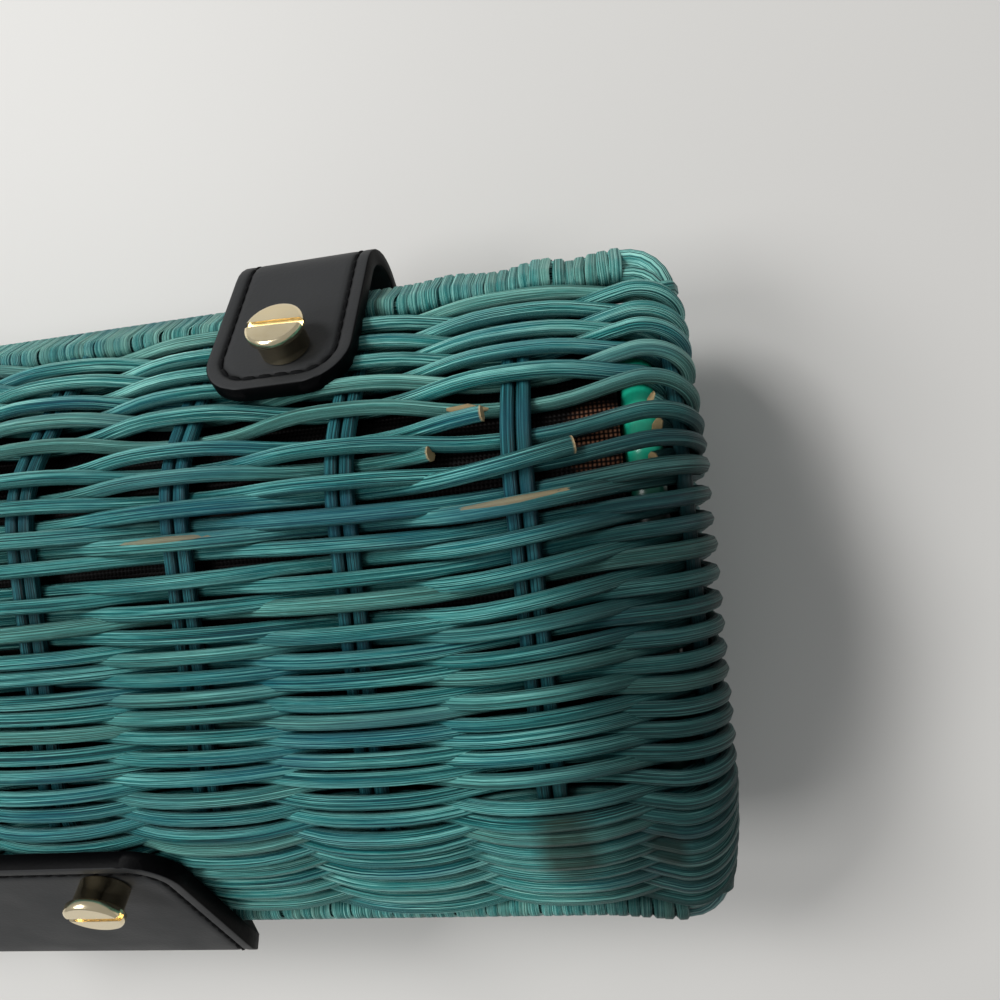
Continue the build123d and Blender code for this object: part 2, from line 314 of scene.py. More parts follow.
# Painted shade darkens it under the closed rows of the crown.
spot = add(tree, "ShaderNodeSeparateXYZ", {"Vector": tube_place})
green = mix(tree, spread(tree, spot.outputs["Y"], 0.021, 0.016), bright, "#04201a")
end_finish(tree, {"Base Color": green, "Roughness": 0.34, "IOR": 1.5, "Coat Weight": 0.15})

for side in (1, -1):
    for end, end_name in ((-1, "left"), (1, "right")):
        route = section_path(end * (half_length - tube_inset), -tube_inset, foot_z, side)
        values = {"thick": tube_radius / 1000}
        tube = rod_piece(f"{shells[side]}_tube_{end_name}", [(route, False)], values, tube_flats, green_tube)
        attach(tube, bodies[side])
        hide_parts(f"{shells[side]}_frame_tube_{end_name}")

# Stakes and weavers: round cane reed, dyed teal before it was woven, so each reed took the dye its own way.
# Pairs of stakes run across the bag; single weavers pass in front of one pair and behind the next,
# loose over the hinge edge of the crown, where the front shell is broken at its right end.
reed_radius = 1.36
reed_sizes = (0.91, 1.07)
reed_flats = 8
thin_from = 62.0
thin_share = 0.93
stake_radius = 1.2
stake_flats = 10
stake_pitch = 28.3
stake_half_gap = 1.25
stakes_each_side = 4
stake_lift = -0.7
end_stake_lift = -17.0
stake_tint = 0.6
wave_middle = -0.45
wave_height = 2.1
wave_fullness = 0.3
corner_x = half_length - corner_radius
corner_stake_turn = math.radians(67)
corner_stake = corner_x + corner_radius * corner_stake_turn
quarter_turn = math.radians(90)
end_stake_pitch = 14.0
first_row = 6.4
flat_near_foot = 12.0
foot_share_of_wave = 0.65
foot_trim = 1.0
face_steps = 42
corner_steps = 16
end_steps = 12
end_step = 2.6
# How far each row wanders from its line, over what lengths, and more so in the loose part of the front.
drift_waves = 3
drift_heights = (0.13, 0.38)
drift_lengths = (18, 60)
drift_starts = (0, 6.3)
loose_rows = (24, 62)
loose_share = 1.15
front_spacing = (
    (0, 3.0), (9, 2.65), (14, 2.3), (20, 2.3), (27, 3.6), (34, 2.8), (43, 2.3), (50, 2.75), (57, 2.35),
    (66, 1.8), (80, 1.5), (90, 1.8), (98, 1.6), (106, 2.2), (116, 2.7), (134, 2.9),
)
back_spacing = ((0, 2.2), (134, 2.2))
# Near the right end of the front the rows were beaten up towards the hinge: place, and by how much.
fan_start = 98.0
fan = ((0, 0.0), (30, 0.3), (45, 2.3), (62, 3.8), (78, 2.7), (100, 1.8), (134, 0.3))
# Broken rows: place, where the left and right ends lie along the row, and how far each end has strayed.
broken_runs = (
    (31.5, 108.5, 135.0, 0.0, -1.7), (37.3, 100.0, 136.0, 0.0, -0.8), (42.5, 122.0, 134.0, -2.0, 1.7),
)
stub_reach = 12.0
break_step = 0.4
split_step = 2.5
split_tip = 0.25
split_taper = 1.5
split_tint = 0.5
# Splits: place, start and stop along the row, offset across it, rise over its middle, radius,
# and how bare the cane is.
splits = (
    (31.5, 102.2, 108.8, 0.35, 0.95, 1.05, 0.92),
    (49.4, 98.0, 127.0, -0.75, 0.72, 0.72, 0.55),
    (49.4, 38.0, 73.0, -0.75, 0.72, 0.72, 0.5),
    (61.6, 84.0, 87.0, -0.6, 0.9, 0.4, 0.8),
)


def dyed_reed(name, deep, body, pale_highlight):
    """Cane reed in a teal dye: fibre streaks along each reed, some bluer, some washed out, all satin. Its
    streaks hold painted highlights; painted shade darkens its hollows and the right end, and painted light
    brightens the slopes.
    """
    finish, tree = new_finish(name)
    place = object_place(tree)
    spot = add(tree, "ShaderNodeSeparateXYZ", {"Vector": place})
    along, around, tint, bare = (
        add(tree, "ShaderNodeAttribute", attribute_name=key).outputs["Fac"]
        for key in ("along", "around", "tint", "bare")
    )
    # Fibres are about 0.2 mm wide and run for 15 mm or more. The pale end of their streaks is painted
    # highlight on the fibre ridges, and the deep end is partly painted shade in the grooves between them.
    fibre_place = add(
        tree,
        "ShaderNodeCombineXYZ",
        {
            "X": multiply(tree, along, 24.0),
            "Y": multiply(tree, around, 58.0),
            "Z": multiply(tree, tint, 91.0),
        },
    )
    fibre = noise(tree, fibre_place.outputs[0], 1.0, detail=5.0, roughness=0.72)
    streaks_and_highlights = add(tree, "ShaderNodeValToRGB", {"Fac": fibre})
    for element, position, shade in zip(streaks_and_highlights.color_ramp.elements, (0.43, 0.58), (deep, pale_highlight)):
        element.position = position
        element.color = paint(shade)
    streaks_and_highlights.color_ramp.elements.new(0.5).color = paint(body)
    # Patches of bluer dye a few centimetres long, and some reeds that are washed out.
    stretched = add(tree, "ShaderNodeMapping", {"Vector": place, "Scale": (22.0, 90.0, 90.0)})
    patch = noise(tree, stretched.outputs[0], 1.0)
    colour = mix(tree, spread(tree, patch, 0.5, 0.72, high=0.6), streaks_and_highlights.outputs[0], "#0e5872")
    wash = multiply(tree, spread(tree, tint, 0.62, 1.0, high=0.5), fibre)
    colour = mix(tree, wash, colour, "#7eb09a")
    # Painted light: the slopes, and all that lies lower, the back shell too, are painted lighter than the
    # crown.
    painted_slope_light = spread(tree, spot.outputs["Z"], 0.068, 0.054)
    colour = mix(tree, painted_slope_light, colour, (1.7, 1.3, 1.25, 1), blend_type="MULTIPLY")
    # Two brown stains low down on the right.
    for middle, reach in (((0.1145, -0.0362, 0.0622), 0.0085), ((0.1297, -0.0375, 0.0612), 0.0050)):
        offset = add(tree, "ShaderNodeVectorMath", {0: place, 1: middle}, operation="SUBTRACT").outputs[0]
        oval = add(tree, "ShaderNodeVectorMath", {0: offset, 1: (1.6, 0.75, 0.75)}, operation="MULTIPLY")
        away = add(tree, "ShaderNodeVectorMath", {0: oval.outputs[0]}, operation="LENGTH").outputs["Value"]
        edge = add(tree, "ShaderNodeMath", {0: patch, 1: reach, 2: away}, operation="MULTIPLY_ADD")
        stain = spread(tree, edge.outputs[0], reach * 1.7, reach * 1.1, high=0.75)
        colour = mix(tree, stain, colour, "#2f3a28")
    # Painted shade: the right end of the front, on the side away from the light, is painted darker.
    painted_right_shade = 0.8
    for axis, shade_start, shade_full in (("X", 0.106, 0.127), ("Y", 0.046, 0.020), ("Z", 0.030, 0.045)):
        share = spread(tree, spot.outputs[axis], shade_start, shade_full, interpolation_type="SMOOTHSTEP")
        painted_right_shade = multiply(tree, share, painted_right_shade)
    colour = mix(tree, painted_right_shade, colour, "#031a19")
    # Painted shade: the hollows between reeds, and the rows behind the stakes, are darkened by their ambient
    # occlusion.
    lit = add(tree, "ShaderNodeAmbientOcclusion", {"Distance": 0.004}, samples=4).outputs["AO"]
    clear = spread(tree, lit, 0.06, 0.58)
    colour = mix(tree, clear, "#032c30", colour)
    ridges = add(tree, "ShaderNodeBump", {"Height": fibre, "Strength": 1.0, "Distance": 0.0006})
    end_finish(
        tree,
        {
            "Base Color": mix(tree, bare, colour, "#d8b988"),
            "Roughness": spread(tree, fibre, 0.3, 0.7, low=0.6, high=0.32),
            "IOR": 1.5,
            "Specular IOR Level": spread(tree, clear, 0.0, 1.0, low=0.02, high=0.32),
            "Normal": ridges.outputs[0],
        },
    )
    return finish


def value_at(place, listed):
    """A value at a place on the section, between the places that are listed."""
    for (low, near), (high, far) in zip(listed, listed[1:]):
        if place <= high:
            return near + (far - near) * (place - low) / (high - low)
    return listed[-1][1]


def fanned(place, run):
    """A front row's place, moved up towards the hinge near the right end."""
    share = min(1.0, max(0.0, (run - fan_start) / (half_length - fan_start)))
    return place - value_at(place, fan) * share * share * (3 - 2 * share)


def row_places(spacing):
    """Places of the rows, from the foot at the hinge to the foot at the flap."""
    places = [first_row]
    while places[-1] < 2 * half_girth - first_row:
        places.append(places[-1] + value_at(places[-1], spacing))
    return places[:-1]


def row_beat(run, beat):
    """From -1, behind the stakes, to 1, in front of them, along a row."""
    last = stakes_each_side * stake_pitch
    run = abs(run)
    if run <= last:
        count = run / stake_pitch
    elif run <= corner_stake:
        count = stakes_each_side + (run - last) / (corner_stake - last)
    else:
        count = stakes_each_side + 1 + (run - corner_stake) / end_stake_pitch
    wave = math.cos(math.pi * (count + beat))
    return wave * (1 + wave_fullness - wave_fullness * wave * wave)


def row_point(place, run, lift):
    """A point of a row: along the face, round the corner, then down the end wall to the rim."""
    past = abs(run) - corner_x
    end = 1 if run > 0 else -1
    if past <= 0:
        y, z = dome(place, lift)
        return run, y, z
    turn = min(past / corner_radius, quarter_turn)
    drop = max(0.0, past - corner_radius * quarter_turn)
    x = corner_x + (corner_radius + lift) * math.sin(turn)
    y, z = dome(place, -corner_radius + (corner_radius + lift) * math.cos(turn))
    return end * x, y, z - drop


def row_lift(place, run, beat):
    """How far a row stands out at a place along it; near the rims the rows lie flatter."""
    foot_share = min(1.0, min(place, 2 * half_girth - place) / flat_near_foot)
    wave_share = foot_share_of_wave + (1 - foot_share_of_wave) * foot_share
    return wave_middle + wave_share * wave_height * row_beat(run, beat)


def row_runs():
    """Places along a row: close together at the corners, further apart on the face."""
    runs = [corner_x * step / face_steps for step in range(-face_steps, face_steps + 1)]
    bend = corner_radius * quarter_turn
    tail = [corner_x + bend * step / corner_steps for step in range(1, corner_steps + 1)]
    tail += [tail[-1] + end_step * step for step in range(1, end_steps + 1)]
    return [-run for run in reversed(tail)] + runs + tail


def nearest_row(places, want, apart=1):
    """The number of the row nearest to a place, among every row or every second one."""
    return min(range(0, len(places), apart), key=lambda row: abs(places[row] - want))


dyed = dyed_reed("teal dyed cane", "#013438", "#108383", "#8cded6")
dyed_stakes = dyed_reed("teal dyed cane stakes", "#042a2e", "#0f5a64", "#3f9098")

for side, spacing, seed in ((1, front_spacing, 5), (-1, back_spacing, 11)):
    chance = random.Random(seed)
    paths, thick, tint, bare = [], [], [], []
    places = row_places(spacing)
    breaks = {nearest_row(places, want, 2): ends for want, *ends in broken_runs if side == 1}
    for row, place in enumerate(places):
        loose = side == 1 and loose_rows[0] < place < loose_rows[1]
        waves = []
        for _ in range(drift_waves):
            height = chance.uniform(*drift_heights) * (loose_share if loose else 1)
            length = chance.uniform(*drift_lengths)
            waves.append((height, length, chance.uniform(*drift_starts)))
        size = reed_radius * chance.uniform(*reed_sizes) * (thin_share if place > thin_from else 1)
        shade = chance.random()
        left, right, left_stray, right_stray = breaks.get(row, (math.inf, math.inf, 0.0, 0.0))
        runs = row_runs()
        if row in breaks:
            runs = sorted(runs + [left - break_step, left, right, right + break_step])
        stretches = ([], [])
        for run in runs:
            drift = sum(height * math.sin(run / length + start) for height, length, start in waves)
            if run <= left:
                drift += left_stray * max(0.0, 1 - (left - run) / stake_pitch) ** 2
            if run >= right:
                drift += right_stray * max(0.0, 1 - (run - right) / stub_reach)
            middle = fanned(place, run) if side == 1 else place
            point = row_point(middle + drift, run, row_lift(place, run, row % 2))
            if point[2] < foot_z - foot_trim:
                continue
            if run <= left:
                stretches[0].append(in_frame(*point, side))
            elif run >= right:
                stretches[1].append(in_frame(*point, side))
        for number, stretch in enumerate(stretches):
            if len(stretch) < 2:
                continue
            paths.append((stretch, False))
            thick += [size / 1000] * len(stretch)
            tint += [shade] * len(stretch)
            bare_ends = [0.0] * len(stretch)
            if row in breaks:
                bare_ends[number - 1] = 1.0
            bare += bare_ends
    values = {"thick": thick, "tint": tint, "bare": bare}
    weave = rod_piece(f"{shells[side]}_weavers", paths, values, reed_flats, dyed)
    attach(weave, bodies[side])
    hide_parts(f"{shells[side]}_weave")

    if side == 1:
        paths, thick, bare = [], [], []
        for want, start, stop, offset, rise, radius, bareness in splits:
            row = nearest_row(places, want)
            last = 1 + round((stop - start) / split_step)
            path = []
            for step in range(last + 1):
                run = start + (stop - start) * step / last
                lift = row_lift(places[row], run, row % 2) + rise
                path.append(in_frame(*row_point(fanned(places[row], run) + offset, run, lift), side))
                taper = min(1.0, split_tip + split_taper * min(step, last - step) / last)
                thick.append(radius * taper / 1000)
                bare.append(bareness)
            paths.append((path, False))
        values = {"thick": thick, "tint": split_tint, "bare": bare}
        split = rod_piece("front_splits", paths, values, reed_flats, dyed)
        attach(split, "front_shell")

    paths, tint = [], []
    pairs = range(-stakes_each_side, stakes_each_side + 1)
    stake_places = [pair * stake_pitch + half * stake_half_gap for pair in pairs for half in (-1, 1)]
    stake_lines = [(x, stake_lift) for x in stake_places]
    corner_depth = corner_radius + stake_lift
    corner_lift = -corner_radius + corner_depth * math.cos(corner_stake_turn)
    corner_stake_x = corner_x + corner_depth * math.sin(corner_stake_turn)
    stake_lines += [(end * corner_stake_x, corner_lift) for end in (-1, 1)]
    stake_lines += [(end * (half_length + stake_lift), end_stake_lift) for end in (-1, 1)]
    for x, lift in stake_lines:
        path = section_path(x, lift, foot_z - foot_trim, side)
        paths.append((path, False))
        tint += [chance.uniform(0, stake_tint)] * len(path)
    values = {"thick": stake_radius / 1000, "tint": tint, "bare": 0.0}
    stakes = rod_piece(f"{shells[side]}_stakes", paths, values, stake_flats, dyed_stakes)
    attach(stakes, bodies[side])

# Rims: a stout cane rod round the mouth of each shell, bound to the weave with a flat strip of dyed reed.
# The strip is wound turn by turn, and leaves the rod bare where it rounds the corners.
rim_half_x = 141.0
rim_half_y = 60.2
rim_inset = 3.7
rim_corner = 5.5
rim_corner_steps = 12
rim_rod_radius = 3.3
rim_rod_flats = 16
rim_rod_step = 1.5
rim_rod_tint = 0.4
rim_middle_z = 3.65
rim_seed = 31
foot_rod_radius = 1.5
foot_rod_flats = 10
foot_rod_tint = 0.7
# How far out of the rod's line the foot of the wall stands.
foot_out = {"sides": -1.3, "ends": 0.6}
wrap_pitch = 2.0
wrap_width = 2.15
wrap_thickness = 0.45
wrap_crest = 0.6
wrap_rise = 5.2
wrap_top_radius = 1.9
wrap_flats = 24
wrap_fibres = 0.5
wrap_heading = 0.05
wrap_lean = 0.06
side_zone = 9.0
bare_corner = 10.0
corner_bulge = 1.2
bulge_start = 116.0
bulge_end = rim_half_x - 6.0
bulge_zone = 12.0
# Where the binding is drawn tight at the hinge edge: along the rim, and how far in.
tight_places = ((101.0, 0.7), (117.5, 1.2))
tight_reach = 4.5


def corner_arc(x, y, radius, start, steps):
    """Points round a quarter turn about a middle, from the start angle in degrees."""
    turns = [math.radians(start + 90 * step / steps) for step in range(steps + 1)]
    return [Vector((x + radius * math.cos(turn), y + radius * math.sin(turn))) for turn in turns]


def steps_along(outline, step_length):
    """Points and directions at equal steps once round an outline."""
    marks, left = [], 0.0
    for start, stop in zip(outline, outline[1:] + outline[:1]):
        length = (stop - start).length
        if length < 1e-6:
            continue
        while left < length:
            marks.append((start.lerp(stop, left / length), (stop - start).normalized()))
            left += step_length
        left -= length
    return marks


def rim_line(step_length):
    """Points and directions along the middle of the rim, once round."""
    half_x = rim_half_x - rim_inset - rim_corner
    half_y = rim_half_y - rim_inset - rim_corner
    outline = []
    for across, up, start in ((1, 1, 0), (-1, 1, 90), (-1, -1, 180), (1, -1, 270)):
        outline += corner_arc(across * half_x, up * half_y, rim_corner, start, rim_corner_steps)
    return steps_along(outline, step_length)


def end_copies(tree, asked, one, angles):
    """Copies of one object at the points of the mesh, turned by these angles, end the tree."""
    copied = add(tree, "GeometryNodeObjectInfo", {"Object": asked[one]}).outputs["Geometry"]
    copies = add(
        tree,
        "GeometryNodeInstanceOnPoints",
        {"Points": asked["Geometry"], "Instance": copied, "Rotation": angles},
    )
    return end_group(tree, asked, copies.outputs[0])


def wrap_tree():
    """Turns of a flat strip at the points of a mesh, each set square to the rod by its own turn."""
    tree, asked = new_group("turns of strip", {"Turn": "Object"})
    own = {"X": 0.0, "Y": attribute(tree, "lean"), "Z": attribute(tree, "heading")}
    return end_copies(tree, asked, "Turn", add(tree, "ShaderNodeCombineXYZ", own).outputs[0])


def bulged(point):
    """A point of the rim, pushed out where the rod swells round the corner of the bag."""
    share = min(1.0, max(0.0, (abs(point.x) - bulge_start) / (bulge_end - bulge_start)))
    out = corner_bulge * share * share * (3 - 2 * share)
    if abs(point.y) < rim_half_y - bulge_zone:
        out = 0.0
    if point.y > rim_half_y - bulge_zone:
        for place, depth in tight_places:
            out -= depth * math.exp(-(((point.x - place) / tight_reach) ** 2))
    return Vector((point.x, point.y + math.copysign(out, point.y)))


def strip_turn(lean_out, side):
    """One turn of strip round the rod, with the rod along X; it also binds the foot of the wall."""
    mesh = bpy.data.meshes.new("turn")
    points, faces, along, around = [], [], [], []
    wall_foot = Vector((-lean_out, side * wrap_rise))
    half = wrap_width / 2
    crest = half * wrap_crest
    outline = ((-half, 0.0), (-crest, wrap_thickness), (crest, wrap_thickness), (half, 0.0))
    for step in range(wrap_flats):
        turn = 2 * math.pi * step / wrap_flats
        way = Vector((math.cos(turn), math.sin(turn)))
        middle, radius = Vector((0, 0)), rim_rod_radius
        if wall_foot.dot(way) + wrap_top_radius > rim_rod_radius:
            middle, radius = wall_foot, wrap_top_radius
        for x, lift in outline:
            spot = middle + (radius + lift) * way
            points.append(Vector((x, spot.x, spot.y)) / 1000)
            along.append(rim_rod_radius * turn / 1000)
            around.append((x + half) / wrap_width * wrap_fibres)
    wide = len(outline)
    for step in range(wrap_flats):
        for place in range(wide - 1):
            first, second = step * wide + place, ((step + 1) % wrap_flats) * wide + place
            faces.append((first, second, second + 1, first + 1))
    mesh.from_pydata(points, [], faces)
    mesh.attributes.new("along", "FLOAT", "POINT").data.foreach_set("value", along)
    mesh.attributes.new("around", "FLOAT", "POINT").data.foreach_set("value", around)
    mesh.polygons.foreach_set("use_smooth", [True] * len(faces))
    return mesh


wraps = wrap_tree()
bound = dyed_reed("teal dyed flat reed", "#044044", "#178a89", "#8cd8d0")

for side in (1, -1):
    chance = random.Random(rim_seed + side)
    line = [point for point, _ in rim_line(rim_rod_step)]
    rod_points = [in_frame(*bulged(point), rim_middle_z, side) for point in line]
    values = {"thick": rim_rod_radius / 1000, "tint": rim_rod_tint, "bare": 0.0}
    rod = rod_piece(f"{shells[side]}_rim_rod", [(rod_points, True)], values, rim_rod_flats, dyed)
    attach(rod, bodies[side])
    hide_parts(f"{shells[side]}_rim")

    foot_points = []
    for point in line:
        x = point.x * (1 + foot_out["ends"] / rim_half_x)
        y = point.y * (1 + foot_out["sides"] / rim_half_y)
        foot_points.append(in_frame(x, y, rim_middle_z + wrap_rise, side))
    values = {"thick": foot_rod_radius / 1000, "tint": foot_rod_tint, "bare": 0.0}
    foot_rod = rod_piece(f"{shells[side]}_rim_foot_rod", [(foot_points, True)], values, foot_rod_flats, dyed)
    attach(foot_rod, bodies[side])

    for stretch, lean_out in foot_out.items():
        turns, heading, lean, tint = [], [], [], []
        for point, way in rim_line(wrap_pitch):
            on_side = abs(point.y) > rim_half_y - side_zone
            at_corner = on_side and abs(point.x) > rim_half_x - bare_corner
            if at_corner or on_side != (stretch == "sides"):
                continue
            turns.append(([in_frame(*bulged(point), rim_middle_z, side)], False))
            heading.append(math.atan2(way.y, way.x) + chance.uniform(-wrap_heading, wrap_heading))
            lean.append(chance.uniform(-wrap_lean, wrap_lean))
            tint.append(chance.random())
        values = {"heading": heading, "lean": lean, "tint": tint, "bare": 0.0}
        strip = add_piece(f"{shells[side]}_rim_strip_{stretch}", path_mesh("strip", turns, values))
        one_turn = add_piece("one_turn", strip_turn(lean_out, side))
        grow(strip, wraps, Turn=one_turn, Finish=bound)
        bpy.data.objects.remove(one_turn)
        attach(strip, bodies[side])

# Linings: a woven copper-brown cloth, stiffened and fitted inside each shell.
# It shows only through the broken corner and when the bag is open.
bag_middle = (0.0, middle_y / 1000, parting_z / 1000)


def cloth_finish():
    """Plain-woven cloth of shiny brown yarn, about 0.7 mm from thread to thread."""
    finish, tree = new_finish("copper brown woven cloth")
    place = object_place(tree)
    waves = {"Vector": place, "Scale": 450.0, "Distortion": 1.0, "Detail": 1.0}
    warp, weft = (add(tree, "ShaderNodeTexWave", waves, bands_direction=way).outputs["Fac"] for way in "XY")
    threads = multiply(tree, warp, weft)
    # Painted light: a patch of light where it falls through the broken corner onto the cloth at the right
    # end.
    away = add(tree, "ShaderNodeVectorMath", {0: place, 1: (0.1257, 0.0245, 0.0585)}, operation="DISTANCE")
    painted_light_patch = spread(tree, away.outputs["Value"], 0.0075, 0.0045)
    # Painted shade: its outer face, against the weave, is made near black; the inner face keeps the brown of
    # the cloth.
    outwards = add(tree, "ShaderNodeVectorMath", {0: place, 1: bag_middle}, operation="SUBTRACT").outputs[0]
    normal = add(tree, "ShaderNodeTexCoord").outputs["Normal"]
    facing = add(tree, "ShaderNodeVectorMath", {0: outwards, 1: normal}, operation="DOT_PRODUCT")
    outer_face_shade = spread(tree, facing.outputs["Value"], -0.001, 0.001)
    yarn = mix(tree, painted_light_patch, mix(tree, outer_face_shade, "#6a4634", "#080504"), "#9a6a50")
    shade = mix(tree, outer_face_shade, "#2c1a12", "#020101")
    raised = add(tree, "ShaderNodeBump", {"Height": threads, "Strength": 0.5, "Distance": 0.0004})
    end_finish(
        tree,
        {
            "Base Color": mix(tree, threads, shade, yarn),
            "Roughness": 0.55,
            "Specular IOR Level": 0.08,
            "Normal": raised.outputs[0],
        },
    )
    return finish


def dress(node, finish):
    """A finish on every slot of a CAD node."""
    for slot_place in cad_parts[node].material_slots:
        slot_place.material = finish


lining_cloth = cloth_finish()
for node in ("front_lining", "back_lining"):
    dress(node, lining_cloth)

# Hinge straps and closure flap: black bridle leather about 3 mm thick, edges rounded and painted,
# sewn round with black thread just inside the edge. The straps arch from shell to shell as hinges.
strap_thickness = 3.0
strap_gap = 2.3
strap_width = 26.0
strap_place = 73.6
strap_reach = 26.0
strap_bend = 8.0
strap_corners = (8.5, 8.5)
flap_width = 96.6
flap_reach = 36.5
flap_bend = 11.0
flap_tail = 8.2
flap_corners = (8.0, 20.0)
edge_round = 0.45
edge_wall = 0.8
# Lines of the mesh, counted in from the edge: close together at the edge and at the seam.
edge_insets = [0.0, 0.03, 0.12, 0.3, 0.7, 1.3, 1.9, 2.2, 2.45, 2.7, 2.95, 3.2, 3.5, 4.4]
corner_shares = (0.7, 0.85, 1.0)
corner_clear = 1.0
strap_steps = 34
strap_columns = 10
merge_distance = 0.000002
groove_depth = 0.4
groove_reach = 0.5
stitch_inset = 2.7
stitch_length = 2.8
stitch_radius = 0.42
stitch_flats = 6
stitch_corner_steps = 6
# One stitch: shares of its length along the seam, and how far it rises out of the groove.
stitch_outline = ((-0.42, -0.35), (-0.25, 0.02), (0.0, 0.08), (0.25, 0.02), (0.42, -0.35))


def strap_section(reach, bend):
    """Middle line of a strap on the +Y side, from its end to the parting plane, and that line's length."""
    lift = edge_radius + strap_gap + strap_thickness / 2
    middle_radius = bend + strap_thickness / 2
    start_y = crown_half + lift * math.sin(slope) + (side_length - reach) * math.cos(slope)
    start_z = centre_z + lift * math.cos(slope) - (side_length - reach) * math.sin(slope)
    inner = edge_radius + strap_gap - bend
    bend_y = crown_half + inner * math.sin(slope)
    bend_y += (centre_z + inner * math.cos(slope)) * math.cos(slope) / math.sin(slope)
    stop_y = bend_y + middle_radius * math.sin(slope)
    stop_z = middle_radius * math.cos(slope)
    straight = math.hypot(stop_y - start_y, stop_z - start_z)
    arc = middle_radius * (quarter_turn - slope)

    def at(run):
        """Point and outward direction at a run from the strap's end."""
        if run <= straight:
            share = run / straight
            return start_y + (stop_y - start_y) * share, start_z + (stop_z - start_z) * share, slope
        turn = slope + min(run - straight, arc) / middle_radius
        beyond = max(0.0, run - straight - arc)
        return bend_y + middle_radius * math.sin(turn), middle_radius * math.cos(turn) - beyond, turn

    return at, straight + arc


def strap_place_at(section, length, mirrored, run):
    """Point and outward direction anywhere on a strap; a hinge strap is the same above and below."""
    if mirrored and run > length:
        y, z, turn = section(2 * length - run)
        return y, -z, math.pi - turn
    return section(run)


def edge_distance(run, across, length, half_width, corners):
    """How far inside the strap's rounded outline a point lies."""
    corner = corners[0] if run < length / 2 else corners[1]
    low = abs(run - length / 2) - length / 2 + corner
    side = abs(across) - half_width + corner
    outside = math.hypot(max(low, 0), max(side, 0))
    return corner - outside - min(max(low, side), 0)


def leather_mesh(name, section, half_run, mirrored, total, half_width, corners, flip, middle_x):
    """A strap as two faces that round over to meet at its edge, black with edge paint and painted shade, with
    a groove for the stitches, darkened as painted shade.
    """
    head, tail = corners
    runs = edge_insets + [head * share for share in corner_shares]
    between = total - head - tail - 2 * corner_clear
    runs += [head + corner_clear + between * step / strap_steps for step in range(strap_steps + 1)]
    runs += [total - inset for inset in edge_insets] + [total - tail * share for share in corner_shares]
    runs = sorted(set(runs))
    mesh = bpy.data.meshes.new(name)
    shape = bmesh.new()
    edge_paint_and_shade = shape.verts.layers.float.new("edge_paint_and_shade")
    grids = {1: [], -1: []}
    for run in runs:
        corner = head if run < total / 2 else tail
        into = min(run, total - run)
        narrow = corner - math.sqrt(max(0.0, corner ** 2 - (corner - min(into, corner)) ** 2))
        half = half_width - narrow
        offsets = [half - inset for inset in edge_insets]
        offsets += [offsets[-1] * (1 - 2 * step / strap_columns) for step in range(1, strap_columns)]
        offsets += [-half + inset for inset in reversed(edge_insets)]
        y, z, turn = strap_place_at(section, half_run, mirrored, run)
        for face in (1, -1):
            row = []
            for across in offsets:
                inside = max(0.0, edge_distance(run, across, total, half_width, corners))
                bevel = math.sqrt(max(0.0, 1 - (1 - min(inside / edge_round, 1)) ** 2))
                round_over = edge_wall + (1 - edge_wall) * bevel if inside > edge_insets[1] / 2 else 0.0
                near_seam = math.exp(-(((inside - stitch_inset) / groove_reach) ** 2)) if face == 1 else 0.0
                out = face * (strap_thickness / 2 * round_over - groove_depth * near_seam)
                outer_y = flip * (y + out * math.sin(turn))
                point = in_frame(middle_x + across, outer_y, z + out * math.cos(turn), 1)
                row.append(shape.verts.new(point))
                # The edge wall is black as edge paint and painted shade; the stitch groove is darkened as
                # painted shade.
                row[-1][edge_paint_and_shade] = 1.0 if inside < edge_insets[2] else near_seam
            grids[face].append(row)
    for face in (1, -1):
        rows = grids[face]
        for upper, lower in zip(rows, rows[1:]):
            for place in range(len(upper) - 1):
                shape.faces.new((upper[place], upper[place + 1], lower[place + 1], lower[place]))
    bmesh.ops.remove_doubles(shape, verts=shape.verts, dist=merge_distance)
    bmesh.ops.dissolve_degenerate(shape, edges=shape.edges, dist=merge_distance / 2)
    bmesh.ops.recalc_face_normals(shape, faces=shape.faces)
    for face in shape.faces:
        face.smooth = True
    shape.to_mesh(mesh)
    shape.free()
    return mesh


def leather_finish():
    """Smooth bridle leather: fine pores, soft creases and a waxed semi-gloss."""
    finish, tree = new_finish("black bridle leather")
    place = object_place(tree)
    edge_paint_and_shade = add(tree, "ShaderNodeAttribute", attribute_name="edge_paint_and_shade").outputs["Fac"]
    # Grain cells of about 0.6 mm, and broad soft creases.
    grain = add(tree, "ShaderNodeTexVoronoi", {"Vector": place, "Scale": 1600.0}).outputs["Distance"]
    crease = noise(tree, place, 90.0, detail=3.0)
    height = add(tree, "ShaderNodeMath", {0: grain, 1: 0.25, 2: crease}, operation="MULTIPLY_ADD")
    pores = add(tree, "ShaderNodeBump", {"Height": height.outputs[0], "Strength": 0.25, "Distance": 0.0003})
    black = mix(tree, crease, "#28292a", "#343536")
    # Near black on the edge wall, as edge paint and painted shade, and in the stitch groove, as painted
    # shade.
    end_finish(
        tree,
        {
            "Base Color": mix(tree, edge_paint_and_shade, black, "#030304"),
            "Roughness": spread(tree, crease, 0.3, 0.7, low=0.46, high=0.58),
            "IOR": 1.48,
            "Specular IOR Level": spread(tree, edge_paint_and_shade, 0.0, 1.0, low=0.16, high=0.05),
            "Normal": pores.outputs[0],
        },
    )
    return finish


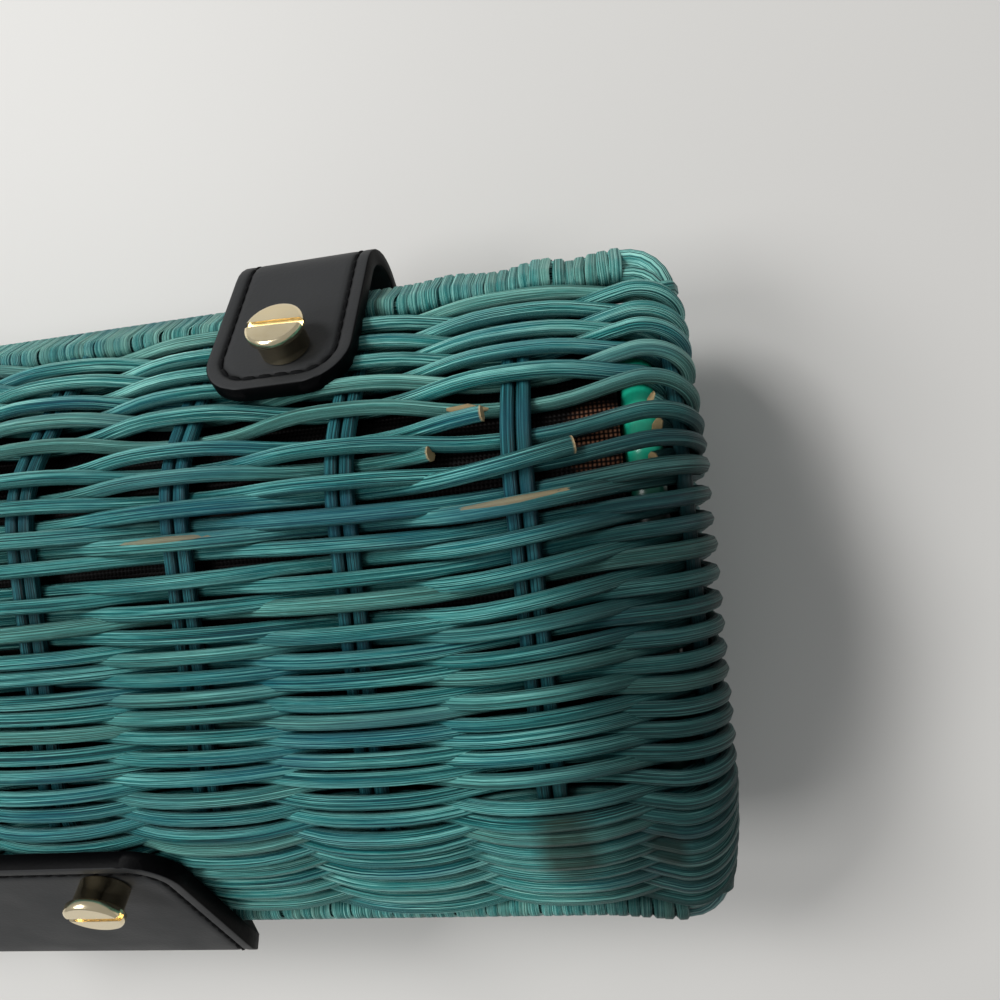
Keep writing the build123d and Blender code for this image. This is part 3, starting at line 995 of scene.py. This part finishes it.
def stitch_paths(section, half_run, mirrored, total, half_width, corners, flip, middle_x):
    """Short raised lines, one for each stitch, round the outline just inside the edge."""
    inner_half = half_width - stitch_inset
    low, high = stitch_inset, total - stitch_inset
    outline = []
    for end_run, side, start in ((high, 1, 0), (low, 1, 90), (low, -1, 180), (high, -1, 270)):
        corner = (corners[1] if end_run == high else corners[0]) - stitch_inset
        run_middle = end_run - corner if end_run == high else end_run + corner
        outline += corner_arc(run_middle, side * (inner_half - corner), corner, start, stitch_corner_steps)
    paths = []
    for middle, way in steps_along(outline, stitch_length):
        path = []
        for share, rise in stitch_outline:
            spot = middle + way * stitch_length * share
            y, z, turn = strap_place_at(section, half_run, mirrored, spot.x)
            out = strap_thickness / 2 - groove_depth + rise
            outer_y = flip * (y + out * math.sin(turn))
            path.append(in_frame(middle_x + spot.y, outer_y, z + out * math.cos(turn), 1))
        paths.append((path, False))
    return paths


def sewn_leather(name, seam_name, shape):
    """A leather piece of this shape, and the seam of thread that runs round it."""
    sheet = add_piece(name, leather_mesh(name, *shape))
    sheet.data.materials.append(leather)
    values = {"thick": stitch_radius / 1000}
    return sheet, rod_piece(seam_name, stitch_paths(*shape), values, stitch_flats, thread)


leather = leather_finish()
thread, tree = new_finish("black waxed thread")
black = mix(tree, noise(tree, object_place(tree), 2500), "#040405", "#101112")
end_finish(tree, {"Base Color": black, "Roughness": 0.8, "Specular IOR Level": 0.1})

section, half_run = strap_section(strap_reach, strap_bend)
for end, end_name in ((-1, "left"), (1, "right")):
    middle_x = end * strap_place
    shape = (section, half_run, True, 2 * half_run, strap_width / 2, strap_corners, 1, middle_x)
    strap, seam = sewn_leather(f"strap_{end_name}", f"strap_seam_{end_name}", shape)
    for piece in (strap, seam):
        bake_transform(piece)
    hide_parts(f"hinge_strap_{end_name}")

section, flap_run = strap_section(flap_reach, flap_bend)
shape = (section, flap_run, False, flap_run + flap_tail, flap_width / 2, flap_corners, -1, 0.0)
flap, flap_seam = sewn_leather("flap", "flap_seam", shape)
for piece in (flap, flap_seam):
    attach(piece, "front_shell")
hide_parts("closure_flap")

# Studs: gilt turned screws with a slotted flat head on a thick neck, through the leather, weave and lining.
# A six-sided cap nut behind the lining holds each one.
head_radius = 5.0
head_thickness = 1.8
neck_radius = 4.25
neck_height = 3.8
slot_width = 1.2
slot_depth = 0.9
shank_radius = 1.6
shank_depth = 12.5
head_top = neck_height + head_thickness
stud_flats = 40
hinge_stud_place = 75.0
hinge_stud_down = 13.2
flap_stud_place = 35.0
flap_stud_down = 0.5
stud_clear = 0.1
stud_base = edge_radius + strap_gap + strap_thickness + stud_clear
stud_merge = 0.000005
flat_face = 0.95


def stud_mesh():
    """One stud, turned from bar, standing on the leather at height 0, with a slot milled across its head."""
    # The small numbers round and break its edges.
    outline = (
        (0.0, -shank_depth), (shank_radius, -shank_depth), (shank_radius, 0.0), (neck_radius - 0.1, 0.0),
        (neck_radius, 0.15), (neck_radius, neck_height), (head_radius - 0.35, neck_height),
        (head_radius, neck_height + 0.35), (head_radius, head_top - 0.45),
        (head_radius - 0.15, head_top - 0.15), (head_radius - 0.5, head_top), (0.0, head_top + 0.05),
    )
    shape = bmesh.new()
    points = [shape.verts.new((radius / 1000, 0, height / 1000)) for radius, height in outline]
    edges = [shape.edges.new(pair) for pair in zip(points, points[1:])]
    turning = {"axis": (0, 0, 1), "cent": (0, 0, 0), "steps": stud_flats, "angle": 2 * math.pi}
    bmesh.ops.spin(shape, geom=points + edges, **turning)
    bmesh.ops.remove_doubles(shape, verts=shape.verts, dist=stud_merge)
    bmesh.ops.recalc_face_normals(shape, faces=shape.faces)
    turned = bpy.data.meshes.new("turned")
    shape.to_mesh(turned)
    shape.free()
    cutter = bmesh.new()
    bmesh.ops.create_cube(cutter, size=1.0)
    for point in cutter.verts:
        point.co = Vector(
            (
                point.co.x * 4 * head_radius / 1000,
                point.co.y * slot_width / 1000,
                (head_top + point.co.z * 2 * slot_depth) / 1000,
            )
        )
    slot_mesh = bpy.data.meshes.new("slot")
    cutter.to_mesh(slot_mesh)
    cutter.free()
    blank = add_piece("blank", turned)
    mill = add_piece("mill", slot_mesh)
    milling = blank.modifiers.new("slot", "BOOLEAN")
    milling.operation = "DIFFERENCE"
    milling.object = mill
    milling.solver = "EXACT"
    done = bpy.data.meshes.new_from_object(blank.evaluated_get(bpy.context.evaluated_depsgraph_get()))
    bpy.data.objects.remove(blank)
    bpy.data.objects.remove(mill)
    for face in done.polygons:
        face.use_smooth = abs(face.normal.z) < flat_face and len(face.vertices) == 4
    return done


def gilt_finish():
    """Gilt brass: a warm polished plating with faint turning marks."""
    finish, tree = new_finish("gilt brass")
    marks = noise(tree, object_place(tree), 900.0)
    gold = mix(tree, marks, "#eedcb2", "#f6e8c6")
    polish = spread(tree, marks, 0.0, 1.0, low=0.16, high=0.26)
    end_finish(tree, {"Base Color": gold, "Metallic": 1.0, "Roughness": polish})
    return finish


def stud_tree():
    """Studs at the points of a mesh, each tipped out from its side of the bag."""
    tree, asked = new_group("studs in place", {"Stud": "Object", "Tip": "Float"})
    own = add(tree, "ShaderNodeCombineXYZ", {"X": 0.0, "Y": 0.0, "Z": attribute(tree, "twist")})
    tipped = add(tree, "ShaderNodeCombineXYZ", {"X": asked["Tip"], "Y": 0.0, "Z": 0.0})
    both = {"Rotation": own.outputs[0], "Rotate By": tipped.outputs[0]}
    angles = add(tree, "FunctionNodeRotateRotation", both)
    return end_copies(tree, asked, "Stud", angles.outputs[0])


gilt = gilt_finish()
stud_copies = stud_tree()
one_stud = add_piece("one_stud", stud_mesh())
for node, edge, side, x_place, down, twists in (
    ("front_hinge_studs", 1, 1, hinge_stud_place, hinge_stud_down, (0.05, -0.05)),
    ("back_hinge_studs", 1, -1, hinge_stud_place, hinge_stud_down, (0.3, -0.2)),
    ("closure_studs", -1, 1, flap_stud_place, flap_stud_down, (0.1, 0.0)),
):
    y = crown_half + stud_base * math.sin(slope) + down * math.cos(slope)
    z = centre_z + stud_base * math.cos(slope) - down * math.sin(slope)
    spots = [([in_frame(end * x_place, edge * y, z, side)], False) for end in (-1, 1)]
    studs = add_piece(node.replace("studs", "screws"), path_mesh("screws", spots, {"twist": list(twists)}))
    tip = -edge * slope if side == 1 else math.pi + edge * slope
    grow(studs, stud_copies, Stud=one_stud, Tip=tip, Finish=gilt)
    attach(studs, bodies[side])
    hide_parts(node)
bpy.data.objects.remove(one_stud)
for node in ("front_hinge_nuts", "back_hinge_nuts", "closure_nuts"):
    dress(node, gilt)

# Catch: a small steel magnet on the flap and a steel keeper on the back rim, which it pulls up to.
# Both are nickel-plated and brushed, in the shapes of the CAD.
steel, tree = new_finish("brushed nickel-plated steel")
brushed = {"Vector": object_place(tree), "Scale": (300.0, 3000.0, 3000.0)}
brush = noise(tree, add(tree, "ShaderNodeMapping", brushed).outputs[0], 1.0)
grey = mix(tree, brush, "#a9abad", "#c6c8ca")
end_finish(tree, {"Base Color": grey, "Metallic": 1.0, "Roughness": 0.35})
for node in ("flap_magnet", "rim_keeper"):
    dress(node, steel)
